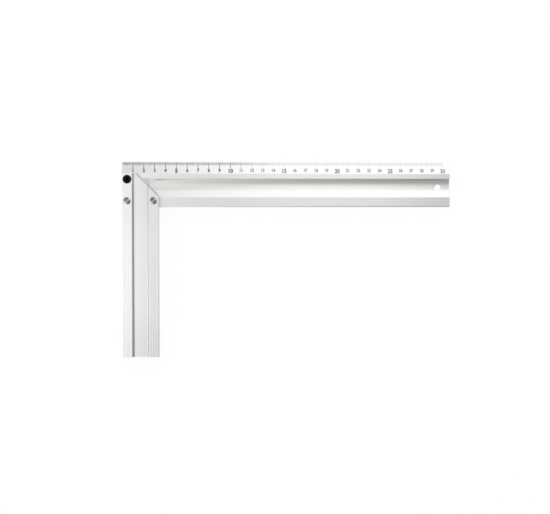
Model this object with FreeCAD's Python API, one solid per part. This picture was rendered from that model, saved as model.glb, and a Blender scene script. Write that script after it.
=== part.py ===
"""Carpenter square: an extruded aluminium blade let into an extruded aluminium stock, held by three screws.

The square lies flat. X runs along the blade from the zero of the scale, Y points out of the scale edge,
and Z points out of the printed face. The origin is the zero corner of the scale edge, in the plane of the
blade's rear face, which is the plane that lies on the work. All sizes are in millimetres.
"""
import FreeCAD, Part

import math
import os

# Blade, measured across from the scale edge
blade_length = 306.5
blade_width = 42.0
blade_thickness = 5.0
scale_edge_thickness = 2.0
bevel_width = 11.0
shoulder_width = 4.5
trough_wall_run = 1.8
trough_wall_drop = 1.8
trough_wall_foot_radius = 0.8
trough_bed_run = 4.15
trough_bed_drop = 1.35
trough_bed_radius = 14.0
band_width = 9.2
blade_lower_edge_radius = 1.2
blade_end_corner_radius = 1.0
scale_edge_radius = 0.2

# Hanging hole near the blade's free end
hanging_hole_diameter = 6.5
hanging_hole_from_end = 11.0
hanging_hole_from_scale_edge = 24.0

# Stock, a grooved extrusion with a slot cut to the blade's section
stock_width = 34.0
stock_thickness = 20.0
square_outer_height = 180.0
flange_width = 9.7
recess_depth = 3.5
recess_floor_radius = 1.6
recess_lip_radius = 0.6
stock_edge_radius = 0.6
slot_side_clearance = 0.05
mitre_start_from_outer_side = 14.0
mitre_angle = 45.0
mitre_corner_radius = 9.0

# Reeding: shallow round-bottomed grooves down the flanges and along the blade's lower band
reed_count = 3
reed_pitch = 2.0
reed_width = 0.7
reed_depth = 0.04

# Screws
screw_diameter = 4.0
screw_length = 18.0
screw_tip_chamfer = 0.5
screw_clearance = 0.15
thread_clearance = 0.02
head_land = 0.2
head_sink = 0.1
countersink_angle = 90.0
countersink_rim = 0.15
slotted_head_diameter = 6.4
driver_slot_width = 1.5
driver_slot_depth = 1.0
driver_slot_angle = 45.0
socket_head_diameter = 7.7
socket_across_flats = 2.5
socket_depth = 1.4
slotted_screw_from_blade_edge = 5.5
socket_screw_from_stock_end = 5.7

# Room that a cutting shape has past the surface that it leaves
cut_margin = 2.0

# Places that follow from the sizes above
blade_front = blade_thickness
blade_mid = blade_thickness / 2
stock_front = blade_mid + stock_thickness / 2
stock_rear = blade_mid - stock_thickness / 2
stock_end = -bevel_width
stock_foot = -square_outer_height
blade_lower_edge = -blade_width
shoulder_end = bevel_width + shoulder_width
wall_foot = (shoulder_end + trough_wall_run, blade_front - trough_wall_drop)
bed_corner = (wall_foot[0] + trough_bed_run, wall_foot[1] - trough_bed_drop)
trough_edge = blade_width - band_width
outer_screw_line = flange_width / 2
inner_screw_line = stock_width - flange_width / 2


def rounded_outline(corners, place):
    """A closed wire through the corners, each an (x, y, radius), with tangent arcs at the rounded ones.

    place turns a flat (x, y) into a point in space.
    """
    starts, ends, middles = [], [], []
    for index, (x, y, radius) in enumerate(corners):
        before = corners[index - 1]
        after = corners[(index + 1) % len(corners)]
        back = unit(before[0] - x, before[1] - y)
        ahead = unit(after[0] - x, after[1] - y)
        half_angle = math.acos(back[0] * ahead[0] + back[1] * ahead[1]) / 2
        tangent = radius / math.tan(half_angle)
        starts.append((x + back[0] * tangent, y + back[1] * tangent))
        ends.append((x + ahead[0] * tangent, y + ahead[1] * tangent))
        bisector = unit(back[0] + ahead[0], back[1] + ahead[1])
        inset = radius / math.sin(half_angle) - radius
        middles.append((x + bisector[0] * inset, y + bisector[1] * inset))
    edges = []
    for index, corner in enumerate(corners):
        if corner[2] > 0:
            arc = Part.Arc(place(*starts[index]), place(*middles[index]), place(*ends[index]))
            edges.append(arc.toShape())
        following = (index + 1) % len(corners)
        edges.append(Part.LineSegment(place(*ends[index]), place(*starts[following])).toShape())
    return Part.Wire(edges)


def unit(x, y):
    """The direction of (x, y)."""
    length = math.hypot(x, y)
    return x / length, y / length


def cylinder_along_z(radius, x, y, bottom, top):
    """An upright cylinder between two heights."""
    return Part.makeCylinder(radius, top - bottom, FreeCAD.Vector(x, y, bottom))


def reed_offsets():
    """Where the reeding grooves lie across a band, from its middle."""
    return [(index - (reed_count - 1) / 2) * reed_pitch for index in range(reed_count)]


def reed_cutter(start, direction, length, outward):
    """A long cylinder that cuts one groove of the stated width and depth into the face at start."""
    radius = (reed_width ** 2 / 4 + reed_depth ** 2) / (2 * reed_depth)
    centre = start + outward * (radius - reed_depth)
    return Part.makeCylinder(radius, length, centre, direction)


def turn_between(before, corner, after):
    """The angle by which an outline turns at a corner."""
    arriving = math.atan2(corner[1] - before[1], corner[0] - before[0])
    leaving = math.atan2(after[1] - corner[1], after[0] - corner[0])
    return abs(leaving - arriving)


def radius_with_room(radius, turn, room):
    """The radius of a rounding at a corner that turns by an angle, kept inside the room beside it."""
    return min(radius, room / math.tan(turn / 2))


def blade_corners():
    """The corners of the blade's section as (distance from the scale edge, height, radius), in clockwise order."""
    shoulder = (shoulder_end, blade_front)
    ramp_top = (trough_edge, blade_front)
    bed_length = math.dist(wall_foot, bed_corner)
    foot_turn = turn_between(shoulder, wall_foot, bed_corner)
    foot_radius = radius_with_room(trough_wall_foot_radius, foot_turn, 0.4 * bed_length)
    foot_reach = foot_radius * math.tan(foot_turn / 2)
    bed_turn = turn_between(wall_foot, bed_corner, ramp_top)
    bed_radius = radius_with_room(trough_bed_radius, bed_turn, 0.98 * (bed_length - foot_reach))
    return [
        (0, 0, scale_edge_radius),
        (0, scale_edge_thickness, scale_edge_radius),
        (bevel_width, blade_front, 0),
        (*shoulder, 0),
        (*wall_foot, foot_radius),
        (*bed_corner, bed_radius),
        (*ramp_top, 0),
        (blade_width, blade_front, blade_lower_edge_radius),
        (blade_width, 0, blade_lower_edge_radius),
    ]


def grown(corners, distance):
    """A clockwise outline moved outwards by a distance, its roundings kept concentric."""
    moved = []
    for index, (x, y, radius) in enumerate(corners):
        before = corners[index - 1]
        after = corners[(index + 1) % len(corners)]
        arriving = unit(x - before[0], y - before[1])
        leaving = unit(after[0] - x, after[1] - y)
        outward = unit(-arriving[1] - leaving[1], arriving[0] + leaving[0])
        reach = distance / (outward[1] * arriving[0] - outward[0] * arriving[1])
        bulges = arriving[0] * leaving[1] < arriving[1] * leaving[0]
        if radius > 0:
            radius += distance if bulges else -distance
        moved.append((x + outward[0] * reach, y + outward[1] * reach, radius))
    return moved


def blade_prism(corners, start, length):
    """A bar along X with a section drawn like the blade's."""
    outline = rounded_outline(corners, lambda across, height: FreeCAD.Vector(start, -across, height))
    return Part.Face(outline).extrude(FreeCAD.Vector(length, 0, 0))


def blade():
    """The blade: extruded section, reeded band, trimmed end corners, hanging hole and screw holes."""
    body = blade_prism(blade_corners(), 0, blade_length)
    along = FreeCAD.Vector(1, 0, 0)
    outward = FreeCAD.Vector(0, 0, 1)
    band_middle = blade_width - band_width / 2
    for offset in reed_offsets():
        start = FreeCAD.Vector(-cut_margin, -(band_middle + offset), blade_front)
        body = body.cut(reed_cutter(start, along, blade_length + 2 * cut_margin, outward))
    plan = rounded_outline(
        [
            (0, 0, 0),
            (0, -blade_width, 0),
            (blade_length, -blade_width, blade_end_corner_radius),
            (blade_length, 0, blade_end_corner_radius),
        ],
        lambda x, y: FreeCAD.Vector(x, y, -cut_margin),
    )
    body = body.common(Part.Face(plan).extrude(FreeCAD.Vector(0, 0, blade_thickness + 2 * cut_margin)))
    hole_x = blade_length - hanging_hole_from_end
    holes = [(hole_x, -hanging_hole_from_scale_edge, hanging_hole_diameter / 2)]
    for x, y, head_diameter in screw_places().values():
        holes.append((x, y, screw_diameter / 2 + screw_clearance))
    for x, y, radius in holes:
        body = body.cut(cylinder_along_z(radius, x, y, -cut_margin, blade_thickness + cut_margin))
    return body


def screw_places():
    """Each screw's name, with its x and y and the diameter of its head."""
    slotted_y = blade_lower_edge + slotted_screw_from_blade_edge
    socket_y = stock_end - socket_screw_from_stock_end
    return {
        "outer_slotted_screw": (outer_screw_line, slotted_y, slotted_head_diameter),
        "inner_slotted_screw": (inner_screw_line, slotted_y, slotted_head_diameter),
        "heel_socket_screw": (outer_screw_line, socket_y, socket_head_diameter),
    }


def stock_section():
    """The stock's cross-section, a block with a rounded recess down each face, in the plane of its foot."""
    recess_end = stock_width - flange_width
    front_floor = stock_front - recess_depth
    rear_floor = stock_rear + recess_depth
    corners = [
        (0, stock_rear, stock_edge_radius),
        (flange_width, stock_rear, recess_lip_radius),
        (flange_width, rear_floor, recess_floor_radius),
        (recess_end, rear_floor, recess_floor_radius),
        (recess_end, stock_rear, recess_lip_radius),
        (stock_width, stock_rear, stock_edge_radius),
        (stock_width, stock_front, stock_edge_radius),
        (recess_end, stock_front, recess_lip_radius),
        (recess_end, front_floor, recess_floor_radius),
        (flange_width, front_floor, recess_floor_radius),
        (flange_width, stock_front, recess_lip_radius),
        (0, stock_front, stock_edge_radius),
    ]
    return Part.Face(rounded_outline(corners, lambda x, z: FreeCAD.Vector(x, stock_foot, z)))


def stock_plan():
    """The stock seen from the front: square at its foot and heel, mitred and rounded beside the blade."""
    mitre_run = stock_width - mitre_start_from_outer_side
    mitre_drop = mitre_run * math.tan(math.radians(mitre_angle))
    corners = [
        (0, stock_foot, 0),
        (stock_width, stock_foot, 0),
        (stock_width, stock_end - mitre_drop, mitre_corner_radius),
        (mitre_start_from_outer_side, stock_end, 0),
        (0, stock_end, 0),
    ]
    outline = rounded_outline(corners, lambda x, y: FreeCAD.Vector(x, y, stock_rear - cut_margin))
    return Part.Face(outline).extrude(FreeCAD.Vector(0, 0, stock_thickness + 2 * cut_margin))


def stock():
    """The stock: extruded section, reeded flanges, mitred end, blade slot, countersunk and tapped holes."""
    stock_length = square_outer_height - bevel_width
    along = FreeCAD.Vector(0, 1, 0)
    body = stock_section().extrude(along * stock_length)
    for face_height, outward in ((stock_front, 1), (stock_rear, -1)):
        for flange_middle in (flange_width / 2, stock_width - flange_width / 2):
            for offset in reed_offsets():
                start = FreeCAD.Vector(flange_middle + offset, stock_foot - cut_margin, face_height)
                outwards = FreeCAD.Vector(0, 0, outward)
                body = body.cut(reed_cutter(start, along, stock_length + 2 * cut_margin, outwards))
    body = body.common(stock_plan())
    slot = blade_prism(grown(blade_corners(), slot_side_clearance), -cut_margin, stock_width + 2 * cut_margin)
    # The blade's lower edge bears on the slot's floor
    slot.translate(FreeCAD.Vector(0, slot_side_clearance, 0))
    body = body.cut(slot)
    for x, y, head_diameter in screw_places().values():
        body = body.cut(screw_hole(x, y, head_diameter))
    return body


def cone_height(wide_diameter, narrow_diameter):
    """Height of a countersink's cone between two diameters."""
    return (wide_diameter - narrow_diameter) / 2 / math.tan(math.radians(countersink_angle / 2))


def screw_hole(x, y, head_diameter):
    """The cutter for one screw: countersink and clearance hole in front, tapped hole through the rear."""
    rim_diameter = head_diameter + 2 * countersink_rim
    rim_height = head_seat_top() + cone_height(rim_diameter, head_diameter)
    hole_radius = screw_diameter / 2 + screw_clearance
    cone = Part.makeCone(
        hole_radius,
        rim_diameter / 2,
        cone_height(rim_diameter, 2 * hole_radius),
        FreeCAD.Vector(x, y, rim_height - cone_height(rim_diameter, 2 * hole_radius)),
    )
    mouth = cylinder_along_z(rim_diameter / 2, x, y, rim_height, stock_front + cut_margin)
    clearance_hole = cylinder_along_z(hole_radius, x, y, blade_mid, rim_height)
    tapped_radius = screw_diameter / 2 + thread_clearance
    tapped_hole = cylinder_along_z(tapped_radius, x, y, stock_rear - cut_margin, blade_mid)
    return mouth.fuse([cone, clearance_hole, tapped_hole])


def head_seat_top():
    """Height at which a head's cone ends and its land begins."""
    return stock_front - head_sink - head_land


def screw(x, y, head_diameter):
    """A countersunk screw with no drive yet: land, cone, plain shank and chamfered tip."""
    land_bottom = head_seat_top()
    top = land_bottom + head_land
    tip = top - screw_length
    shank_radius = screw_diameter / 2
    cone = cone_height(head_diameter, screw_diameter)
    profile = [
        (0, tip),
        (shank_radius - screw_tip_chamfer, tip),
        (shank_radius, tip + screw_tip_chamfer),
        (shank_radius, land_bottom - cone),
        (head_diameter / 2, land_bottom),
        (head_diameter / 2, top),
        (0, top),
        (0, tip),
    ]
    wire = Part.makePolygon([FreeCAD.Vector(x + radius, y, height) for radius, height in profile])
    axis = FreeCAD.Vector(0, 0, 1)
    return Part.Face(wire).revolve(FreeCAD.Vector(x, y, 0), axis, 360), top


def slotted_screw(x, y, head_diameter):
    """A countersunk screw with a straight driver slot that lies across its head at an angle."""
    body, top = screw(x, y, head_diameter)
    slot = Part.makeBox(
        head_diameter + 2 * cut_margin,
        driver_slot_width,
        driver_slot_depth + cut_margin,
        FreeCAD.Vector(-head_diameter / 2 - cut_margin, -driver_slot_width / 2, -driver_slot_depth),
    )
    slot.rotate(FreeCAD.Vector(0, 0, 0), FreeCAD.Vector(0, 0, 1), driver_slot_angle)
    slot.translate(FreeCAD.Vector(x, y, top))
    return body.cut(slot)


def socket_screw(x, y, head_diameter):
    """A countersunk screw with a hexagon socket."""
    body, top = screw(x, y, head_diameter)
    corner_radius = socket_across_flats / 2 / math.cos(math.radians(30))
    corners = [
        FreeCAD.Vector(
            x + corner_radius * math.cos(math.radians(60 * index)),
            y + corner_radius * math.sin(math.radians(60 * index)),
            top - socket_depth,
        )
        for index in range(7)
    ]
    socket = Part.Face(Part.makePolygon(corners)).extrude(FreeCAD.Vector(0, 0, socket_depth + cut_margin))
    return body.cut(socket)


def main():
    """Write one STEP file for each piece."""
    pieces = {"blade": blade(), "stock": stock()}
    for name, place in screw_places().items():
        make = socket_screw if name == "heel_socket_screw" else slotted_screw
        pieces[name] = make(*place)
    os.makedirs("parts", exist_ok=True)
    for name, shape in pieces.items():
        shape.exportStep(f"parts/{name}.step")


main()
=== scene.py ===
"""Looks of the carpenter square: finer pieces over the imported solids, its scale, materials, light and camera.

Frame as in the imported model: X along the blade from the zero of the scale, Y out of the scale edge, Z out of
the printed face, the origin at the zero corner of the scale edge on the blade's rear face. Sizes are written
in millimetres and angles in degrees, and turned into metres and radians where Blender takes them.
"""
import math

import bmesh
import bpy
from mathutils import Matrix, Vector

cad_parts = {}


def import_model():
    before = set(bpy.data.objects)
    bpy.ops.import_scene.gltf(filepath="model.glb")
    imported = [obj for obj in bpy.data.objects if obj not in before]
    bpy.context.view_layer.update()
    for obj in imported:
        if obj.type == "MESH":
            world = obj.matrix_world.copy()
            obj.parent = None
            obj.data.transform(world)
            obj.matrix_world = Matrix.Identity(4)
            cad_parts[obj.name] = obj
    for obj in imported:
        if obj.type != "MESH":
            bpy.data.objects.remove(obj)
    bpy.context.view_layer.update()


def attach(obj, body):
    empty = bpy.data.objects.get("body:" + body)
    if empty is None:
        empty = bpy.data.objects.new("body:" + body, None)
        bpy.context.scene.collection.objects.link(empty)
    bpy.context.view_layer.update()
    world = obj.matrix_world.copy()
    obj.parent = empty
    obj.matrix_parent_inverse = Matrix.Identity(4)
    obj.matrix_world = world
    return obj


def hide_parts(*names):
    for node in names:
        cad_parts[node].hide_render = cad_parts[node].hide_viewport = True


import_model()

MM = 0.001

# Blade, measured across from the scale edge; the trough's corners are (across, height)
BLADE_LENGTH = 306.5
BLADE_WIDTH = 42.0
BLADE_THICKNESS = 5.0
SCALE_EDGE_THICKNESS = 2.0
BEVEL_WIDTH = 11.0
SHOULDER_END = 15.5
WALL_FOOT = (17.3, 3.2)
BED_CORNER = (22.5, 1.8)
TROUGH_EDGE = 32.8
SCALE_EDGE_RADIUS = 0.2
BEVEL_TOP_RADIUS = 0.3
SHOULDER_RADIUS = 0.25
WALL_FOOT_RADIUS = 0.8
BED_RADIUS = 16.5
TROUGH_EDGE_RADIUS = 0.3
LOWER_EDGE_RADIUS = 1.2
END_CORNER_RADIUS = 1.0
END_BREAK = 0.15
HANGING_HOLE = (295.5, -24.0)
HANGING_HOLE_RADIUS = 3.25
HANGING_HOLE_BREAK = 0.25

# Stock, with the outer side at X = 0
STOCK_WIDTH = 34.0
STOCK_FRONT = 12.5
STOCK_REAR = -7.5
STOCK_FOOT = -180.0
FLANGE_WIDTH = 9.7
RECESS_DEPTH = 3.5
RECESS_FLOOR_RADIUS = 1.6
RECESS_LIP_RADIUS = 0.6
STOCK_EDGE_RADIUS = 0.6
SLOT_CLEARANCE = 0.05
MITRE_START = 14.0
MITRE_ANGLE = 45.0
MITRE_CORNER_RADIUS = 9.0
MILLED_EDGE_BREAK = 0.8
FOOT_BREAK = 0.25

# Reeding
REED_PITCH = 2.0
REED_WIDTH = 0.8
BLADE_REED_DEPTH = 0.055
STOCK_REED_DEPTH = 0.03

# Screws, and the holes that they stand in
OUTER_SCREW = (5.0, -36.5)
INNER_SCREW = (29.0, -36.5)
HEEL_SCREW = (5.0, -16.7)
SCREW_RADIUS = 2.0
SCREW_TIP = -5.6
SCREW_TIP_CHAMFER = 0.5
SLOTTED_HEAD_RADIUS = 3.2
SOCKET_HEAD_RADIUS = 3.85
HEAD_SINK = 0.3
HEAD_DOME = 0.28
HEAD_LAND = 0.15
HEAD_EDGE_BREAK = 0.08
DOME_STEPS = 12
DRIVER_SLOT_WIDTH = 1.5
DRIVER_SLOT_DEPTH = 0.9
DRIVER_SLOT_RADIUS = 0.15
DRIVER_SLOT_ANGLE = 45.0
SOCKET_ACROSS_FLATS = 2.5
SOCKET_DEPTH = 1.4
SCREW_HOLE_RADIUS = 2.15
COUNTERSINK_RIM = 0.15
COUNTERSINK_BREAK = 0.15
TAPPED_HOLE_RADIUS = 2.02
TAPPED_HOLE_BREAK = 0.5
SCREW_HEADS = {
    OUTER_SCREW: SLOTTED_HEAD_RADIUS,
    INNER_SCREW: SLOTTED_HEAD_RADIUS,
    HEEL_SCREW: SOCKET_HEAD_RADIUS,
}

# Cutting tools: how far they reach past what they cut, and where the bores start and end
PAST = 5.0
ABOVE_ALL = 20.0
BLADE_BORE = (-3.0, 9.0)
HANGING_HOLE_LEAD = 1.0
COUNTERSINK_START = 2.0
COUNTERSINK_LEAD = 0.2
TAPPED_HOLE_LEAD = 0.5
TAPPED_HOLE_END = 2.2
DRIVER_SLOT_REACH = 6.0
RECESS_BREAK_REACH = (-2.0, 1.0)
PLAN_SIDE_START = STOCK_FOOT + 90.0

# Fineness: turned shapes by their number of sides, arcs by the angle of a step, the least spread of a moved
# corner, the angle from which an edge stays sharp, and stations that divide the long faces beside the cuts
SCREW_SIDES = 120
COUNTERSINK_SIDES = 96
HANGING_HOLE_SIDES = 72
BLADE_BORE_SIDES = 48
ARC_STEP = math.radians(3)
INSET_LIMIT = 0.5
SHARP_ANGLE = 28.0
BLADE_STATIONS = [8.5, 12.0, 24.0, 33.0] + [BLADE_LENGTH - before for before in (17.0, 15.0, 7.0, 4.0)]
STOCK_STATIONS = [STOCK_FOOT + 4.0, -60.0, -45.0, -42.0, -32.0, -30.0, -22.0, -12.0]

# Printed scale, on the bevel: lines as {their spacing: (width, far end)}, and numbers, where the threes and
# eights are less bold, because their strokes would run into each other
INK_THICKNESS = 0.03
INK_SUNK = 0.008
TICK_START = 0.35
LAST_TICK = 300
TICK_SHAPES = {1: (0.4, 3.0), 5: (0.42, 3.6), 10: (0.52, 6.2)}
CENTIMETRE = 10
LARGE_EVERY = 5
TWO_FIGURES = 10
NUMERAL_TOP = 6.4
SMALL_NUMERAL = 3.3
FIRST_NUMERAL = 3.696
LARGE_NUMERAL = 4.4
NUMERAL_WIDTH = 0.85
NUMERAL_BOLD = 0.042
FIRST_NUMERAL_BOLD = 0.05
THREE_AND_EIGHT_BOLD = 0.03
NUMERAL_CURVE_STEPS = 4

# Mesh points this near are one, and faces this small are slivers, in metres and square metres
SAME_POINT = 1e-7
SLIVER_AREA = 1e-12

# Aluminium: tones, drawn lines along the extrusion, broader lines and cloudiness as (scale, detail)
BLADE_TONE = (0.785, 0.785, 0.786)
STOCK_TONE = (0.793, 0.793, 0.794)
FINE_LINES = (2600.0, 4.0)
BROAD_LINES = (420.0, 2.0)
CLOUDS = (16.0, 3.0)
LINE_STRETCH = 0.02
LINE_TONES = (0.965, 1.03)
LINE_CONTRAST = (0.1, 0.9)
CLOUD_SHARE = 0.35
ALUMINIUM_ROUGHNESS = (0.31, 0.41)
CLOUD_ROUGHNESS = (-0.02, 0.02)
BROAD_RELIEF = 0.5
ALUMINIUM_BUMP = 0.22
BUMP_DISTANCE = 0.01

# Painted light and shade on the stock: the sawn mitre face painted lighter, painted shade on its broken edges
# and in the recess corners as (middle, half width, amount, only below the face), and darker places as (axis,
# where it starts, where it is full, amount)
SAWN_PAINTED_LIGHT = (0.97, 0.97, 0.97, 1)
EDGE_SHADE_WIDTH = 0.6
EDGE_SHADE_END = 0.1
EDGE_PAINTED_SHADE = 0.52
# The grey that the painted shade and the darker places are mixed towards
DARKENING_GREY = (0.1, 0.1, 0.1, 1)
BELOW_FACE = 0.2
RECESS_SHADE_SOFTNESS = 0.25
RECESS_PAINTED_SHADE = [(10.45, 0.9, 0.42, True), (23.65, 0.65, 0.34, False)]
DARKER_TOWARDS = [("X", 3.0, 31.0, 0.06), ("Y", -75.0, -40.0, 0.04), ("Y", -130.0, -175.0, 0.08)]

# Steel of the slotted screws: plain metal and the slot floor's painted light as (dark, light), and painted
# highlights at the ends of the slot
STEEL_PLAIN = ((0.15, 0.15, 0.15, 1), (0.23, 0.23, 0.225, 1))
STEEL_SLOT_PAINTED_LIGHT = ((0.33, 0.33, 0.33, 1), (0.45, 0.45, 0.445, 1))
SLOT_END_PAINTED_HIGHLIGHT = (0.7, 0.7, 0.69, 1)
SLOT_FLOOR_HEIGHT = 0.25
SLOT_END_HIGHLIGHT_FROM = (1.7, 2.5)
STEEL_GRAIN = (1500.0, 4.0)
RING_SCALE = 900.0
RING_DISTORTION = 1.5
RING_DETAIL = 2.0
STEEL_ROUGHNESS = (0.28, 0.42)
GRAIN_RELIEF = 0.6
STEEL_BUMP = 0.25

# Black oxide of the socket screw: the middle of its head and its rim, with a painted highlight, as (dark,
# light)
OXIDE_MIDDLE = ((0.0006, 0.0006, 0.0006, 1), (0.002, 0.002, 0.002, 1))
OXIDE_RIM_PAINTED_HIGHLIGHT = ((0.007, 0.007, 0.0072, 1), (0.016, 0.016, 0.0163, 1))
OXIDE_HIGHLIGHT_FROM = (1.2, 3.0)
OXIDE_GRAIN = (1800.0, 4.0)
OXIDE_ROUGHNESS = (0.42, 0.6)
OXIDE_SPECULAR = 0.04
OXIDE_BUMP = 0.2

# Ink: grey at the heel, grey at the free end and grey of the long lines there, where painted glare washes the
# ink out, and where along the blade it fades
TICK_INK = (0.02, 0.52, 0.68)
NUMERAL_INK = (0.02, 0.17)
INK_GLARE_FADE = (100.0, 150.0)
LINE_GLARE_FADE = (100.0, 125.0)
LONG_LINE_ACROSS = 3.5
INK_SPECKS = (2200.0, 3.0)
SPECK_START = 0.55
SPECK_GAIN = 2.0
SPECK_TONE = (0.25, 0.5)
INK_ROUGHNESS = (0.35, 0.5)

# Viewpoint
CAMERA_PIVOT = (141.6, -88.5, 0.0)
CAMERA_DISTANCE = 1050.0
CAMERA_YAW = 4.2
CAMERA_ROLL = 0.21
LENS = 73.44
SENSOR = 36.0

# Floor and world: the camera and reflections see them as white
FLOOR_HALF = 4000.0
FLOOR_GAP = 0.02
FLOOR_MATTE = (0.95, 0.95, 0.95, 1)
FLOOR_WHITE_SHARE = 0.93
WORLD_GREY = (0.92, 0.92, 0.92, 1)
WHITE = (1, 1, 1, 1)

# Studio round the object, seen only by reflections: a ceiling with panels as (glow, left, right, near, far,
# softness), and walls as (name, plan points, glow, tint)
CEILING = 600.0
CEILING_GLOW = 0.345
BRIGHTEST = 1.9
WARM = (1.0, 0.98, 0.938, 1)
ROOM = (-1300.0, 1500.0, -1500.0, 1500.0)
PANELS = [
    (1.44, -1400.0, -15.0, -1940.0, 145.0, 110.0),
    (1.15, -60.0, 2100.0, 305.0, 1890.0, 129.0),
    (1.05, 116.0, 435.0, -92.0, 285.0, 100.0),
    (0.5, 32.0, 336.0, -1380.0, -545.0, 120.0),
]
WALLS = [
    ("wall_south_left", ((-1300, -1500), (150, -1500)), 0.9, WARM),
    ("wall_south_middle", ((150, -1500), (480, -1500)), 0.42, WARM),
    ("wall_south_right", ((480, -1500), (1500, -1500)), 0.2, WARM),
    ("wall_north", ((-1300, 1500), (1500, 1500)), 1.47, WHITE),
    ("wall_west", ((-1300, -1500), (-1300, 1500)), 1.4, WHITE),
    ("wall_east", ((1500, -1500), (1500, 1500)), 1.48, WHITE),
]

# Key lamp: LAMP_GAIN is the watts per square metre that give a radiance of 1
LAMP_GAIN = 4.0
KEY_PLACE = (-150.0, 350.0, CEILING)
KEY_TARGET = (120.0, -60.0, 0.0)
KEY_SIZE = (1000.0, 900.0)
KEY_RADIANCE = 0.5


def unit(x, y):
    """The direction of (x, y)."""
    length = math.hypot(x, y)
    return x / length, y / length


def arc(centre, radius, start, end):
    """Points on an arc between two angles, with both ends."""
    steps = max(2, math.ceil(abs(end - start) / ARC_STEP))
    points = []
    for step in range(steps + 1):
        angle = start + (end - start) * step / steps
        points.append((centre[0] + radius * math.cos(angle), centre[1] + radius * math.sin(angle)))
    return points


def rounded(corners):
    """A closed outline through corners, each an (a, b, radius), with tangent arcs at the rounded ones."""
    points = []
    for index, (x, y, radius) in enumerate(corners):
        if radius == 0:
            points.append((x, y))
            continue
        before = corners[index - 1]
        after = corners[(index + 1) % len(corners)]
        back = unit(before[0] - x, before[1] - y)
        ahead = unit(after[0] - x, after[1] - y)
        half_angle = math.acos(back[0] * ahead[0] + back[1] * ahead[1]) / 2
        bisector = unit(back[0] + ahead[0], back[1] + ahead[1])
        reach = radius / math.sin(half_angle)
        centre = (x + bisector[0] * reach, y + bisector[1] * reach)
        tangent = radius / math.tan(half_angle)
        start = math.atan2(y + back[1] * tangent - centre[1], x + back[0] * tangent - centre[0])
        end = math.atan2(y + ahead[1] * tangent - centre[1], x + ahead[0] * tangent - centre[0])
        turn = (end - start + math.pi) % (2 * math.pi) - math.pi
        points += arc(centre, radius, start, start + turn)
    return points


def reeds(middle, height, outward, depth):
    """The three grooves across a band, in order of rising distance, as points with no radius."""
    radius = (REED_WIDTH ** 2 / 4 + depth ** 2) / (2 * depth)
    half = math.asin(REED_WIDTH / 2 / radius)
    points = []
    for offset in (-REED_PITCH, 0, REED_PITCH):
        centre = (middle + offset, height + outward * (radius - depth))
        down = -outward * math.pi / 2
        for x, y in arc(centre, radius, down - outward * half, down + outward * half):
            points.append((x, y, 0))
    return points


def blade_outline(reeded=True):
    """The blade's cross-section as (distance from the scale edge, height), with or without its reeds."""
    corners = [
        (0, 0, SCALE_EDGE_RADIUS),
        (0, SCALE_EDGE_THICKNESS, SCALE_EDGE_RADIUS),
        (BEVEL_WIDTH, BLADE_THICKNESS, BEVEL_TOP_RADIUS),
        (SHOULDER_END, BLADE_THICKNESS, SHOULDER_RADIUS),
        (*WALL_FOOT, WALL_FOOT_RADIUS),
        (*BED_CORNER, BED_RADIUS),
        (TROUGH_EDGE, BLADE_THICKNESS, TROUGH_EDGE_RADIUS),
    ]
    if reeded:
        corners += reeds((TROUGH_EDGE + BLADE_WIDTH) / 2, BLADE_THICKNESS, 1, BLADE_REED_DEPTH)
    corners += [(BLADE_WIDTH, BLADE_THICKNESS, LOWER_EDGE_RADIUS), (BLADE_WIDTH, 0, LOWER_EDGE_RADIUS)]
    return rounded(corners)


def stock_face(height, outward):
    """One face of the stock's cross-section from its outer side: flange, recess, flange."""
    inner = STOCK_WIDTH - FLANGE_WIDTH
    recess_floor = height - outward * RECESS_DEPTH
    return [
        (0, height, STOCK_EDGE_RADIUS),
        *reeds(FLANGE_WIDTH / 2, height, outward, STOCK_REED_DEPTH),
        (FLANGE_WIDTH, height, RECESS_LIP_RADIUS),
        (FLANGE_WIDTH, recess_floor, RECESS_FLOOR_RADIUS),
        (inner, recess_floor, RECESS_FLOOR_RADIUS),
        (inner, height, RECESS_LIP_RADIUS),
        *reeds(STOCK_WIDTH - FLANGE_WIDTH / 2, height, outward, STOCK_REED_DEPTH),
        (STOCK_WIDTH, height, STOCK_EDGE_RADIUS),
    ]


def stock_outline():
    """The stock's cross-section as (x, height)."""
    return rounded(stock_face(STOCK_REAR, -1) + stock_face(STOCK_FRONT, 1)[::-1])


def inset(outline, distance):
    """The outline moved inwards all round by a distance."""
    count = len(outline)
    area = sum(outline[i - 1][0] * outline[i][1] - outline[i][0] * outline[i - 1][1] for i in range(count))
    side = math.copysign(distance, area)
    moved = []
    for index, (x, y) in enumerate(outline):
        before = outline[index - 1]
        after = outline[(index + 1) % count]
        arriving = unit(x - before[0], y - before[1])
        leaving = unit(after[0] - x, after[1] - y)
        normal = unit(-arriving[1] - leaving[1], arriving[0] + leaving[0])
        reach = side / max(INSET_LIMIT, normal[1] * arriving[0] - normal[0] * arriving[1])
        moved.append((x + normal[0] * reach, y + normal[1] * reach))
    return moved


def finished(name, mesh):
    """Turns a bmesh into an object with outward faces."""
    bmesh.ops.recalc_face_normals(mesh, faces=mesh.faces)
    data = bpy.data.meshes.new(name)
    mesh.to_mesh(data)
    mesh.free()
    piece = bpy.data.objects.new(name, data)
    bpy.context.scene.collection.objects.link(piece)
    return piece


def ring(mesh, points):
    """New vertices at points in millimetres."""
    return [mesh.verts.new(Vector(point) * MM) for point in points]


def skin(mesh, rings):
    """Faces from each ring of vertices to the next, and over the first and last."""
    for lower, upper in zip(rings, rings[1:]):
        for index in range(len(lower)):
            following = (index + 1) % len(lower)
            mesh.faces.new((lower[index], lower[following], upper[following], upper[index]))
    mesh.faces.new(rings[0])
    mesh.faces.new(rings[-1])


def loft(name, rings):
    """A closed object through rings of points in millimetres, each with as many points as the next."""
    mesh = bmesh.new()
    skin(mesh, [ring(mesh, points) for points in rings])
    return finished(name, mesh)


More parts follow.
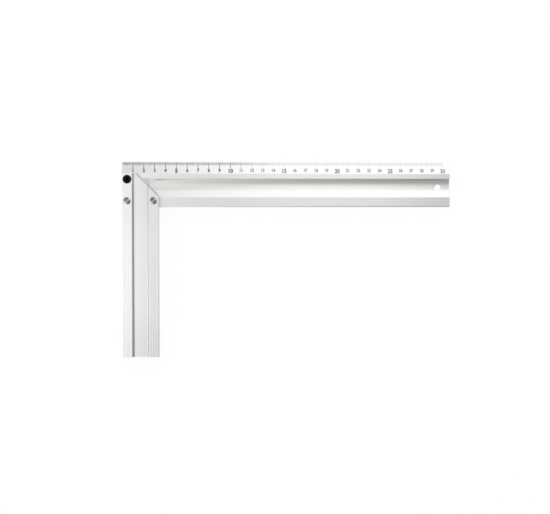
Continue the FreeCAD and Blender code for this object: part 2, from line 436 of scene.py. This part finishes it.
def prism(name, outline, place, near, far, end_break=0, stations=()):
    """A closed prism through stations, its ends broken if asked.

    place turns an outline point and a distance into a point. Stations keep what is cut at one place from
    bending the shading of the long faces beside it.
    """
    distances = [near + end_break, *stations, far - end_break]
    rings = [[place(a, b, distance) for a, b in outline] for distance in distances]
    if end_break:
        smaller = inset(outline, end_break)
        rings = [[place(a, b, near) for a, b in smaller]] + rings + [[place(a, b, far) for a, b in smaller]]
    return loft(name, rings)


def lathe(name, profile, sides):
    """A closed solid of revolution about Z through (radius, height) points that start and end on the axis."""
    mesh = bmesh.new()
    rings = []
    for radius, height in profile:
        angles = [2 * math.pi * index / sides for index in range(sides)] if radius else [0]
        points = [(radius * math.cos(angle), radius * math.sin(angle), height) for angle in angles]
        rings.append(ring(mesh, points))
    for lower, upper in zip(rings, rings[1:]):
        for index in range(sides):
            following = (index + 1) % sides
            corners = [lower[index % len(lower)], lower[following % len(lower)]]
            corners += [upper[following % len(upper)], upper[index % len(upper)]]
            mesh.faces.new(list(dict.fromkeys(corners)))
    return finished(name, mesh)


def combine(piece, tool, operation):
    """Cuts piece with tool, or keeps what they share, and takes the tool away."""
    change = piece.modifiers.new("combine", "BOOLEAN")
    change.operation = operation
    change.solver = "EXACT"
    change.object = tool
    bpy.context.view_layer.update()
    shape = bpy.data.meshes.new_from_object(piece.evaluated_get(bpy.context.evaluated_depsgraph_get()))
    piece.modifiers.remove(change)
    old = piece.data
    piece.data = shape
    bpy.data.meshes.remove(old)
    bpy.data.objects.remove(tool)


def bore(piece, place, profile, sides):
    """Cuts a turned hole in a piece, its axis at a place in plan."""
    hole = lathe("hole", profile, sides)
    hole.location = (place[0] * MM, place[1] * MM, 0)
    combine(piece, hole, "DIFFERENCE")


def drill(radius, near, far, edge_break, lead):
    """A drilled hole's profile from near to far, with a broken edge at near and a lead for the drill."""
    return [
        (0, near - lead),
        (radius + edge_break + lead, near - lead),
        (radius, near + edge_break),
        (radius, far),
        (0, far),
    ]


def smooth(piece):
    """Smooth shading with sharp edges where faces meet at a clear angle, and even normals on flats."""
    for face in piece.data.polygons:
        face.use_smooth = True
    piece.data.set_sharp_from_angle(angle=math.radians(SHARP_ANGLE))
    even = piece.modifiers.new("even_normals", "WEIGHTED_NORMAL")
    even.keep_sharp = True


def along_x(across, height, distance):
    """Places a cross-section that runs along X, such as the blade's, measured across from the scale edge."""
    return distance, -across, height


def along_y(across, height, distance):
    """Places the stock's cross-section, which runs along Y."""
    return across, distance, height


def upright(a, b, distance):
    """Places a plan outline, with the distance as height."""
    return a, b, distance


def blade_body():
    """The blade: section, rounded free corners, hanging hole with broken edges, holes for the screws."""
    body = prism("blade_body", blade_outline(), along_x, 0, BLADE_LENGTH, END_BREAK, BLADE_STATIONS)
    corner = BLADE_LENGTH - END_CORNER_RADIUS
    plan = rounded([
        (-PAST, PAST, 0),
        (-PAST, -BLADE_WIDTH - PAST, 0),
        (corner, -BLADE_WIDTH - PAST, 0),
        (corner, -BLADE_WIDTH, 0),
        (BLADE_LENGTH, -BLADE_WIDTH, END_CORNER_RADIUS),
        (BLADE_LENGTH, 0, END_CORNER_RADIUS),
        (corner, 0, 0),
        (corner, PAST, 0),
    ])
    combine(body, prism("plan", plan, upright, -PAST, BLADE_THICKNESS + 2 * PAST), "INTERSECT")
    start, end = BLADE_BORE
    hanging = drill(HANGING_HOLE_RADIUS, 0, end, HANGING_HOLE_BREAK, HANGING_HOLE_LEAD)
    bore(body, HANGING_HOLE, hanging, HANGING_HOLE_SIDES)
    for place in SCREW_HEADS:
        clearance = [(0, start), (SCREW_HOLE_RADIUS, start), (SCREW_HOLE_RADIUS, end), (0, end)]
        bore(body, place, clearance, BLADE_BORE_SIDES)
    smooth(body)
    return body


def stock_plan(break_now):
    """The stock's plan beside the blade, its milled sides moved inwards and its other sides left outside."""
    end = -BEVEL_WIDTH - break_now
    mitre_start = MITRE_START - break_now * math.tan(math.radians(MITRE_ANGLE / 2))
    drop = STOCK_WIDTH - mitre_start
    return rounded([
        (-PAST, STOCK_FOOT - PAST, 0),
        (STOCK_WIDTH + PAST, STOCK_FOOT - PAST, 0),
        (STOCK_WIDTH + PAST, PLAN_SIDE_START, 0),
        (STOCK_WIDTH, PLAN_SIDE_START, 0),
        (STOCK_WIDTH, end - drop, MITRE_CORNER_RADIUS),
        (mitre_start, end, 0),
        (-PAST, end, 0),
    ])


def milled_plan():
    """The solid that trims the stock to its plan, with broken edges on its front and rear faces."""
    edge = MILLED_EDGE_BREAK
    levels = [
        (STOCK_REAR - edge, 2 * edge),
        (STOCK_REAR + edge, 0),
        (STOCK_FRONT - edge, 0),
        (STOCK_FRONT + edge, 2 * edge),
    ]
    return loft("plan", [[(x, y, height) for x, y in stock_plan(amount)] for height, amount in levels])


def recess_break(face, outward):
    """The cutter for the broken edge where a recess floor meets the mitre: the recess moved along a slope."""
    recess_floor = face - outward * RECESS_DEPTH
    inner = STOCK_WIDTH - FLANGE_WIDTH
    outline = rounded([
        (FLANGE_WIDTH, face + outward, 0),
        (FLANGE_WIDTH, recess_floor, RECESS_FLOOR_RADIUS),
        (inner, recess_floor, RECESS_FLOOR_RADIUS),
        (inner, face + outward, 0),
    ])

    def place(x, z, distance):
        along = distance * math.sqrt(0.5)
        y = -BEVEL_WIDTH - (x - MITRE_START) - along
        return x - along, y, z - outward * (MILLED_EDGE_BREAK - distance)

    before, after = RECESS_BREAK_REACH
    return prism("recess_break", outline, place, before, MILLED_EDGE_BREAK + after)


def countersink(head):
    """The profile of the front hole for a head: clearance, cone, straight rim and broken edge."""
    rim = head + COUNTERSINK_RIM
    rim_height = STOCK_FRONT - HEAD_SINK - HEAD_LAND
    mouth = rim + COUNTERSINK_BREAK + COUNTERSINK_LEAD
    return [
        (0, COUNTERSINK_START),
        (SCREW_HOLE_RADIUS, COUNTERSINK_START),
        (SCREW_HOLE_RADIUS, rim_height - (rim - SCREW_HOLE_RADIUS)),
        (rim, rim_height),
        (rim, STOCK_FRONT - COUNTERSINK_BREAK),
        (mouth, STOCK_FRONT + COUNTERSINK_LEAD),
        (mouth, ABOVE_ALL),
        (0, ABOVE_ALL),
    ]


def stock_body():
    """The stock: section, mitre beside the blade, slot for the blade, countersunk and tapped holes."""
    top = PAST - BEVEL_WIDTH
    body = prism("stock_body", stock_outline(), along_y, STOCK_FOOT, top, FOOT_BREAK, STOCK_STATIONS)
    combine(body, milled_plan(), "INTERSECT")
    combine(body, recess_break(STOCK_FRONT, 1), "DIFFERENCE")
    combine(body, recess_break(STOCK_REAR, -1), "DIFFERENCE")
    slot = [(v - SLOT_CLEARANCE, z) for v, z in inset(blade_outline(reeded=False), -SLOT_CLEARANCE)]
    combine(body, prism("slot", slot, along_x, -PAST, STOCK_WIDTH + PAST), "DIFFERENCE")
    tapped = drill(TAPPED_HOLE_RADIUS, STOCK_REAR, TAPPED_HOLE_END, TAPPED_HOLE_BREAK, TAPPED_HOLE_LEAD)
    for place, head in SCREW_HEADS.items():
        bore(body, place, countersink(head), COUNTERSINK_SIDES)
        bore(body, place, tapped, COUNTERSINK_SIDES)
    smooth(body)
    return body


def screw(name, place, head):
    """A countersunk screw with a slightly raised head, standing on its own axis."""
    rim_height = STOCK_FRONT - HEAD_SINK
    land_bottom = rim_height - HEAD_LAND
    dome_radius = (head ** 2 + HEAD_DOME ** 2) / (2 * HEAD_DOME)
    half = math.asin(head / dome_radius)
    dome_centre = rim_height + HEAD_DOME - dome_radius
    profile = [
        (0, SCREW_TIP),
        (SCREW_RADIUS - SCREW_TIP_CHAMFER, SCREW_TIP),
        (SCREW_RADIUS, SCREW_TIP + SCREW_TIP_CHAMFER),
        (SCREW_RADIUS, land_bottom - (head - SCREW_RADIUS)),
        (head, land_bottom),
        (head, rim_height - HEAD_EDGE_BREAK),
        (head - HEAD_EDGE_BREAK, rim_height),
    ]
    for step in range(1, DOME_STEPS):
        angle = half * (1 - step / DOME_STEPS)
        profile.append((dome_radius * math.sin(angle), dome_centre + dome_radius * math.cos(angle)))
    profile.append((0, rim_height + HEAD_DOME))
    body = lathe(name, profile, SCREW_SIDES)
    body.location = (place[0] * MM, place[1] * MM, 0)
    return body


def slotted_screw(name, place):
    """A screw with a straight driver slot at an angle across its head."""
    body = screw(name, place, SLOTTED_HEAD_RADIUS)
    half = DRIVER_SLOT_WIDTH / 2
    slot_floor = STOCK_FRONT - HEAD_SINK + HEAD_DOME - DRIVER_SLOT_DEPTH
    outline = rounded([
        (-half, slot_floor, DRIVER_SLOT_RADIUS),
        (half, slot_floor, DRIVER_SLOT_RADIUS),
        (half, ABOVE_ALL, 0),
        (-half, ABOVE_ALL, 0),
    ])
    slot = prism("slot", outline, along_x, -DRIVER_SLOT_REACH, DRIVER_SLOT_REACH)
    slot.location = body.location
    slot.rotation_euler = (0, 0, math.radians(DRIVER_SLOT_ANGLE))
    combine(body, slot, "DIFFERENCE")
    smooth(body)
    return body


def socket_screw(name, place):
    """A screw with a hexagon socket."""
    body = screw(name, place, SOCKET_HEAD_RADIUS)
    reach = SOCKET_ACROSS_FLATS / 2 / math.cos(math.radians(30))
    angles = [math.radians(60 * side) for side in range(6)]
    outline = [(reach * math.cos(angle), reach * math.sin(angle)) for angle in angles]
    top = STOCK_FRONT - HEAD_SINK + HEAD_DOME
    socket = prism("socket", outline, upright, top - SOCKET_DEPTH, ABOVE_ALL)
    socket.location = body.location
    combine(body, socket, "DIFFERENCE")
    smooth(body)
    return body


def bevel_place(x, across, proud):
    """A point on the bevel: x along, across down its slope from the scale edge, and proud of it."""
    slope = math.atan2(BLADE_THICKNESS - SCALE_EDGE_THICKNESS, BEVEL_WIDTH)
    y = -across * math.cos(slope) + proud * math.sin(slope)
    z = SCALE_EDGE_THICKNESS + across * math.sin(slope) + proud * math.cos(slope)
    return x, y, z


def scale_ticks():
    """Every millimetre line of the scale, as thin blocks of ink on the bevel."""
    mesh = bmesh.new()
    for tick in range(1, LAST_TICK + 1):
        width, end = TICK_SHAPES[max(spacing for spacing in TICK_SHAPES if tick % spacing == 0)]
        left = tick - width / 2
        right = tick + width / 2
        outline = [(left, TICK_START), (right, TICK_START), (right, end), (left, end)]
        layers = []
        for proud in (-INK_SUNK, INK_THICKNESS):
            layers.append(ring(mesh, [bevel_place(x, across, proud) for x, across in outline]))
        skin(mesh, layers)
    return finished("scale_ticks", mesh)


def numeral_glyphs(number):
    """A number as a mesh about 1 high, with its front above 0 and its back below."""
    curve = bpy.data.curves.new("numeral", "FONT")
    curve.body = str(number)
    curve.size = 1
    curve.align_x = "CENTER"
    curve.resolution_u = NUMERAL_CURVE_STEPS
    curve.extrude = 0.5
    curve.offset = NUMERAL_BOLD
    if set("38") & set(curve.body):
        curve.offset = THREE_AND_EIGHT_BOLD
    elif number < TWO_FIGURES:
        curve.offset = FIRST_NUMERAL_BOLD
    holder = bpy.data.objects.new("numeral", curve)
    bpy.context.scene.collection.objects.link(holder)
    bpy.context.view_layer.update()
    glyphs = bpy.data.meshes.new_from_object(holder.evaluated_get(bpy.context.evaluated_depsgraph_get()))
    bpy.data.objects.remove(holder)
    bpy.data.curves.remove(curve)
    return glyphs


def numeral_height(number):
    """How tall a number is printed: every fifth is large, and other single figures are a little larger."""
    if number % LARGE_EVERY == 0:
        return LARGE_NUMERAL
    return FIRST_NUMERAL if number < TWO_FIGURES else SMALL_NUMERAL


def scale_numerals():
    """The centimetre numbers, as thin ink on the bevel below their lines."""
    mesh = bmesh.new()
    for number in range(1, LAST_TICK // CENTIMETRE + 1):
        glyphs = numeral_glyphs(number)
        top = max(vertex.co.y for vertex in glyphs.vertices)
        bottom = min(vertex.co.y for vertex in glyphs.vertices)
        scale = numeral_height(number) / (top - bottom)
        for vertex in glyphs.vertices:
            x = number * CENTIMETRE + vertex.co.x * scale * NUMERAL_WIDTH
            across = NUMERAL_TOP + (top - vertex.co.y) * scale
            proud = INK_THICKNESS if vertex.co.z > 0 else -INK_SUNK
            vertex.co = Vector(bevel_place(x, across, proud)) * MM
        mesh.from_mesh(glyphs)
        bpy.data.meshes.remove(glyphs)
    bmesh.ops.remove_doubles(mesh, verts=mesh.verts, dist=SAME_POINT)
    slivers = [face for face in mesh.faces if face.calc_area() < SLIVER_AREA]
    longest = {max(face.edges, key=lambda edge: edge.calc_length()) for face in slivers}
    bmesh.ops.dissolve_edges(mesh, edges=list(longest), use_verts=False)
    return finished("scale_numerals", mesh)


class Nodes:
    """Short calls for a material's or world's node tree."""

    def __init__(self, owner):
        owner.use_nodes = True
        self.tree = owner.node_tree
        self.tree.nodes.clear()

    def add(self, kind, settings=None, **sockets):
        """A node with its settings and its input values or links, named with underscores for spaces."""
        node = self.tree.nodes.new(kind)
        for name, value in (settings or {}).items():
            setattr(node, name, value)
        for name, value in sockets.items():
            self.put(node.inputs[name.replace("_", " ")], value)
        return node

    def put(self, socket, value):
        """Sets a socket to a value, or links an output to it."""
        if isinstance(value, bpy.types.NodeSocket):
            self.tree.links.new(value, socket)
        else:
            socket.default_value = value

    def math(self, operation, first, second=None, clamp=False):
        """A Math node's result."""
        node = self.add("ShaderNodeMath", {"operation": operation, "use_clamp": clamp})
        self.put(node.inputs[0], first)
        if second is not None:
            self.put(node.inputs[1], second)
        return node.outputs[0]

    def vector(self, operation, first, second=None):
        """A Vector Math node."""
        node = self.add("ShaderNodeVectorMath", {"operation": operation})
        self.put(node.inputs[0], first)
        if second is not None:
            self.put(node.inputs[1], second)
        return node

    def between(self, factor, low, high):
        """A value that runs from low to high as the factor runs from 0 to 1."""
        return self.add("ShaderNodeMapRange", Value=factor, To_Min=low, To_Max=high).outputs[0]

    def ramp(self, value, start, end, low=0.0, high=1.0, kind="SMOOTHSTEP"):
        """A value that runs from low to high as a length in metres runs from start to end, in millimetres."""
        settings = {"interpolation_type": kind}
        node = self.add("ShaderNodeMapRange", settings, Value=value, To_Min=low, To_Max=high)
        self.put(node.inputs["From Min"], start * MM)
        self.put(node.inputs["From Max"], end * MM)
        return node.outputs[0]

    def mix(self, factor, first, second):
        """A colour between two colours."""
        node = self.add("ShaderNodeMix", {"data_type": "RGBA"})
        self.put(node.inputs["Factor"], factor)
        self.put(node.inputs["A"], first)
        self.put(node.inputs["B"], second)
        return node.outputs["Result"]

    def place(self):
        """The point in the piece's own coordinates, in metres."""
        return self.add("ShaderNodeTexCoord").outputs["Object"]

    def axes(self):
        """The coordinates X, Y and Z of that point, by name."""
        return self.add("ShaderNodeSeparateXYZ", Vector=self.place()).outputs

    def noise(self, scale, detail, stretch=(1, 1, 1)):
        """Noise from 0 to 1 in the piece's own coordinates, squeezed by stretch on each axis."""
        mapped = self.add("ShaderNodeMapping", Vector=self.place(), Scale=stretch)
        noise = self.add("ShaderNodeTexNoise", Vector=mapped.outputs[0], Scale=scale, Detail=detail)
        return noise.outputs["Fac"]

    def seen(self):
        """1 for rays from the camera, from reflections and through glass, and 0 for diffuse light."""
        path = self.add("ShaderNodeLightPath")
        seen = self.math("ADD", path.outputs["Is Camera Ray"], path.outputs["Is Glossy Ray"])
        return self.math("ADD", seen, path.outputs["Is Transmission Ray"], clamp=True)

    def blend(self, share, first, second):
        """A shader between two shaders."""
        node = self.add("ShaderNodeMixShader", Fac=share)
        self.put(node.inputs[1], first.outputs[0])
        self.put(node.inputs[2], second.outputs[0])
        return node

    def principled(self, colour, metallic, roughness, relief=None, bump_strength=0.0):
        """The tree's Principled shader, with bump where there is relief."""
        shader = self.add(
            "ShaderNodeBsdfPrincipled",
            Base_Color=colour,
            Metallic=metallic,
            Roughness=roughness,
        )
        if relief is not None:
            bump = self.add(
                "ShaderNodeBump",
                Strength=bump_strength,
                Distance=BUMP_DISTANCE * MM,
                Height=relief,
            )
            self.put(shader.inputs["Normal"], bump.outputs[0])
        self.output(shader)
        return shader

    def output(self, shader, kind="ShaderNodeOutputMaterial"):
        """Links a shader to the tree's output."""
        self.put(self.add(kind).inputs["Surface"], shader.outputs[0])


def stock_wear(nodes, colour):
    """The stock's colour: a lighter sawn mitre with painted light, painted shade beside it and in the recess
    corners, and darker places.
    """
    axes = nodes.axes()
    middle = (STOCK_FRONT + STOCK_REAR) / 2
    half = STOCK_FRONT - middle
    from_middle = nodes.math("ABSOLUTE", nodes.math("SUBTRACT", axes["Z"], middle * MM))
    across = nodes.math("ADD", axes["X"], axes["Y"])
    mitre = MITRE_START - BEVEL_WIDTH
    edge = mitre - MILLED_EDGE_BREAK * math.sqrt(2)
    # Painted light: the sawn mitre face and its broken edge lighter than the satin faces, as fresh-cut metal
    # and to lift its reflection in the blade's trough
    sawn = nodes.math("GREATER_THAN", across, edge * MM)
    colour = nodes.mix(sawn, colour, SAWN_PAINTED_LIGHT)
    # Painted shade: a dark line over the broken edge beside the mitre and a little of the face next to it,
    # where the blade meets the stock
    beside = nodes.math("GREATER_THAN", across, (edge - EDGE_SHADE_WIDTH * math.sqrt(2)) * MM)
    on_break = nodes.math("LESS_THAN", across, (mitre - EDGE_SHADE_END) * MM)
    shade = nodes.math("MULTIPLY", nodes.math("MULTIPLY", beside, on_break), EDGE_PAINTED_SHADE)
    below_face = nodes.math("LESS_THAN", from_middle, (half - BELOW_FACE) * MM)
    # Painted shade in the recess corners, where the recess walls meet the floor and the flanges
    for corner, reach, amount, only_below in RECESS_PAINTED_SHADE:
        distance = nodes.math("ABSOLUTE", nodes.math("SUBTRACT", axes["X"], corner * MM))
        recess_shade = nodes.ramp(distance, reach - RECESS_SHADE_SOFTNESS, reach + RECESS_SHADE_SOFTNESS, amount, 0.0)
        if only_below:
            recess_shade = nodes.math("MULTIPLY", recess_shade, below_face)
        shade = nodes.math("MAXIMUM", shade, recess_shade)
    # Darker towards the right flange and towards both ends of the stock
    for axis, start, full, amount in DARKER_TOWARDS:
        shade = nodes.math("ADD", shade, nodes.ramp(axes[axis], start, full, 0.0, amount))
    return nodes.mix(shade, colour, DARKENING_GREY)


def aluminium(name, stretch, tone, painted_shading=None):
    """Satin anodised aluminium, with fine drawn lines along the extrusion and a faint cloudiness."""
    material = bpy.data.materials.new(name)
    nodes = Nodes(material)
    lines = nodes.noise(*FINE_LINES, stretch)
    broad = nodes.noise(*BROAD_LINES, stretch)
    cloud = nodes.noise(*CLOUDS)
    dark, light = ([channel * factor for channel in tone] + [1] for factor in LINE_TONES)
    streaked = nodes.mix(nodes.between(lines, *LINE_CONTRAST), dark, light)
    colour = nodes.mix(nodes.math("MULTIPLY", cloud, CLOUD_SHARE), streaked, (*tone, 1))
    # Painted light and shade, where a piece has it
    if painted_shading:
        colour = painted_shading(nodes, colour)
    even = nodes.between(broad, *ALUMINIUM_ROUGHNESS)
    roughness = nodes.math("ADD", even, nodes.between(cloud, *CLOUD_ROUGHNESS))
    relief = nodes.math("ADD", lines, nodes.math("MULTIPLY", broad, BROAD_RELIEF))
    nodes.principled(colour, 1.0, roughness, relief, ALUMINIUM_BUMP)
    return material


def steel():
    """Dark burnished steel with turning rings, with painted light on the slot floor and painted highlights at
    the slot's ends.
    """
    material = bpy.data.materials.new("screw_steel")
    nodes = Nodes(material)
    rings = nodes.add(
        "ShaderNodeTexWave",
        {"wave_type": "RINGS", "rings_direction": "Z"},
        Vector=nodes.place(),
        Scale=RING_SCALE,
        Distortion=RING_DISTORTION,
        Detail=RING_DETAIL,
    )
    grain = nodes.noise(*STEEL_GRAIN)
    axes = nodes.axes()
    slot_floor = STOCK_FRONT - HEAD_SINK + HEAD_DOME - DRIVER_SLOT_DEPTH
    in_slot = nodes.math("LESS_THAN", axes["Z"], (slot_floor + SLOT_FLOOR_HEIGHT) * MM)
    # Painted highlight: the head lighter towards both ends of the slot
    along_slot = nodes.math("ABSOLUTE", nodes.math("ADD", axes["X"], axes["Y"]))
    wear_and_highlight = nodes.ramp(nodes.math("DIVIDE", along_slot, math.sqrt(2)), *SLOT_END_HIGHLIGHT_FROM)
    # Painted light: the slot floor lighter, to lift it out of its own shade
    colour = nodes.mix(in_slot, nodes.mix(grain, *STEEL_PLAIN), nodes.mix(grain, *STEEL_SLOT_PAINTED_LIGHT))
    colour = nodes.mix(wear_and_highlight, colour, SLOT_END_PAINTED_HIGHLIGHT)
    relief = nodes.math("ADD", rings.outputs["Fac"], nodes.math("MULTIPLY", grain, GRAIN_RELIEF))
    nodes.principled(colour, 1.0, nodes.between(grain, *STEEL_ROUGHNESS), relief, STEEL_BUMP)
    return material


def black_oxide():
    """Black-oxide steel: dull, with a fine grain, and a painted highlight that makes it a little lighter
    towards the rim of the head.
    """
    material = bpy.data.materials.new("black_steel")
    nodes = Nodes(material)
    grain = nodes.noise(*OXIDE_GRAIN)
    flat = nodes.vector("MULTIPLY", nodes.place(), (1, 1, 0)).outputs["Vector"]
    from_axis = nodes.vector("LENGTH", flat).outputs["Value"]
    # Painted highlight: lighter towards the rim of the domed head
    rim_highlight = nodes.ramp(from_axis, *OXIDE_HIGHLIGHT_FROM)
    colour = nodes.mix(rim_highlight, nodes.mix(grain, *OXIDE_MIDDLE), nodes.mix(grain, *OXIDE_RIM_PAINTED_HIGHLIGHT))
    shader = nodes.principled(colour, 0.0, nodes.between(grain, *OXIDE_ROUGHNESS), grain, OXIDE_BUMP)
    nodes.put(shader.inputs["Specular IOR Level"], OXIDE_SPECULAR)
    return material


def grey(tone):
    """A neutral colour."""
    return tone, tone, tone, 1


def ink(name, heel_tone, end_tone, line_tone=None):
    """Scale ink with specks where it has come away, and painted glare that makes it fainter towards the blade's
    free end and faintest in the long lines.
    """
    material = bpy.data.materials.new(name)
    nodes = Nodes(material)
    axes = nodes.axes()
    specks = nodes.noise(*INK_SPECKS)
    # Painted glare: the ink greyer towards the free end, and greyer still in the long lines
    fade = nodes.ramp(axes["X"], *INK_GLARE_FADE, kind="LINEAR")
    tone = nodes.mix(fade, grey(heel_tone), grey(end_tone))
    if line_tone:
        line_fade = nodes.ramp(axes["X"], *LINE_GLARE_FADE, kind="LINEAR")
        line = nodes.mix(line_fade, grey(heel_tone), grey(line_tone))
        tone = nodes.mix(nodes.math("LESS_THAN", axes["Y"], -LONG_LINE_ACROSS * MM), tone, line)
    wear_and_highlight = nodes.math("MULTIPLY", nodes.math("SUBTRACT", specks, SPECK_START), SPECK_GAIN, clamp=True)
    base, share = SPECK_TONE
    colour = nodes.mix(wear_and_highlight, tone, grey(base + share * end_tone))
    nodes.principled(colour, 0.0, nodes.between(specks, *INK_ROUGHNESS))
    return material


def dress(piece, node, material):
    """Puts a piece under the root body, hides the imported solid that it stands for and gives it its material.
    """
    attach(piece, "root")
    if node:
        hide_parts(node)
    piece.data.materials.clear()
    piece.data.materials.append(material)


def stage_plane(name, corners, material_name):
    """A plane of the scene that isn't part of the object, and its material's nodes."""
    mesh = bmesh.new()
    mesh.faces.new(ring(mesh, corners))
    plane = finished(name, mesh)
    material = bpy.data.materials.new(material_name)
    plane.data.materials.append(material)
    return plane, Nodes(material)


def floor():
    """A white floor under the stock that keeps a faint shadow of the object."""
    half = FLOOR_HALF
    height = STOCK_REAR - FLOOR_GAP
    corners = [(-half, -half, height), (half, -half, height), (half, half, height), (-half, half, height)]
    _, nodes = stage_plane("floor", corners, "floor_white")
    matte = nodes.add("ShaderNodeBsdfDiffuse", Color=FLOOR_MATTE)
    white = nodes.add("ShaderNodeEmission", Color=WHITE, Strength=1.0)
    share = nodes.math("MULTIPLY", nodes.seen(), FLOOR_WHITE_SHARE)
    nodes.output(nodes.blend(share, matte, white))


def world():
    """Plain grey light all round, seen as white by the camera and by reflections."""
    studio = bpy.data.worlds.new("studio")
    bpy.context.scene.world = studio
    nodes = Nodes(studio)
    diffuse = nodes.add("ShaderNodeBackground", Color=WORLD_GREY, Strength=1.0)
    white = nodes.add("ShaderNodeBackground", Color=WHITE, Strength=1.0)
    nodes.output(nodes.blend(nodes.seen(), diffuse, white), "ShaderNodeOutputWorld")


def card(name, corners, glow, tint):
    """A studio card that only the metal's reflections see, with its material's nodes and their emission."""
    plane, nodes = stage_plane(name, corners, name)
    emission = nodes.add("ShaderNodeEmission", Color=tint, Strength=glow)
    nodes.output(emission)
    plane.visible_camera = False
    plane.visible_diffuse = False
    plane.visible_shadow = False
    return nodes, emission


def wall(name, ends, glow, tint):
    """An upright card between two plan points, from the floor to the ceiling."""
    (ax, ay), (bx, by) = ends
    corners = [(ax, ay, STOCK_REAR), (bx, by, STOCK_REAR), (bx, by, CEILING), (ax, ay, CEILING)]
    card(name, corners, glow, tint)


def ceiling():
    """A dark warm ceiling with soft-edged bright panels, whiter where it is brighter."""
    x0, x1, y0, y1 = ROOM
    corners = [(x0, y0, CEILING), (x1, y0, CEILING), (x1, y1, CEILING), (x0, y1, CEILING)]
    nodes, emission = card("ceiling", corners, CEILING_GLOW, WARM)
    axes = nodes.axes()
    total = CEILING_GLOW
    for glow, left, right, near, far, softness in PANELS:
        panel = glow
        for axis, middle, sign in (("X", left, 1), ("X", right, -1), ("Y", near, 1), ("Y", far, -1)):
            reach = sign * softness / 2
            panel = nodes.math("MULTIPLY", nodes.ramp(axes[axis], middle - reach, middle + reach), panel)
        total = nodes.math("ADD", panel, total)
    strength = nodes.math("MINIMUM", total, BRIGHTEST)
    colour = nodes.mix(nodes.math("DIVIDE", strength, BRIGHTEST), WARM, WHITE)
    nodes.put(emission.inputs["Strength"], strength)
    nodes.put(emission.inputs["Color"], colour)


def lamp(name, place, target, size, radiance):
    """A soft rectangular lamp at a place, turned to a target, that neither the camera nor reflections see."""
    width, height = size
    data = bpy.data.lights.new(name, "AREA")
    data.shape = "RECTANGLE"
    data.size = width * MM
    data.size_y = height * MM
    data.energy = LAMP_GAIN * radiance * width * height * MM * MM
    holder = bpy.data.objects.new(name, data)
    direction = Vector(target) - Vector(place)
    holder.rotation_euler = direction.to_track_quat("-Z", "Y").to_euler()
    holder.location = Vector(place) * MM
    holder.visible_camera = False
    holder.visible_glossy = False
    bpy.context.scene.collection.objects.link(holder)


def camera():
    """The photograph's viewpoint: nearly square on, a little to the left of the object's middle."""
    yaw = Matrix.Rotation(math.radians(CAMERA_YAW), 3, "Y")
    roll = Matrix.Rotation(math.radians(CAMERA_ROLL), 3, "Z")
    turn = (roll @ yaw).transposed()
    data = bpy.data.cameras.new("camera")
    data.lens = LENS
    data.sensor_width = SENSOR
    holder = bpy.data.objects.new("camera", data)
    place = Vector(CAMERA_PIVOT) + turn @ Vector((0, 0, CAMERA_DISTANCE))
    holder.matrix_world = Matrix.Translation(place * MM) @ turn.to_4x4()
    bpy.context.scene.collection.objects.link(holder)
    bpy.context.scene.camera = holder


camera()
blade_finish = aluminium("blade_aluminium", (LINE_STRETCH, 1, 1), BLADE_TONE)
stock_finish = aluminium("stock_aluminium", (1, LINE_STRETCH, 1), STOCK_TONE, stock_wear)
screw_finish = steel()
dress(blade_body(), "blade", blade_finish)
dress(stock_body(), "stock", stock_finish)
dress(slotted_screw("outer_screw", OUTER_SCREW), "outer_slotted_screw", screw_finish)
dress(slotted_screw("inner_screw", INNER_SCREW), "inner_slotted_screw", screw_finish)
dress(socket_screw("heel_screw", HEEL_SCREW), "heel_socket_screw", black_oxide())
dress(scale_ticks(), None, ink("tick_ink", *TICK_INK))
dress(scale_numerals(), None, ink("numeral_ink", *NUMERAL_INK))
floor()
world()
ceiling()
for name, ends, glow, tint in WALLS:
    wall(name, ends, glow, tint)
lamp("key", KEY_PLACE, KEY_TARGET, KEY_SIZE, KEY_RADIANCE)
bpy.context.scene.view_settings.view_transform = "Standard"
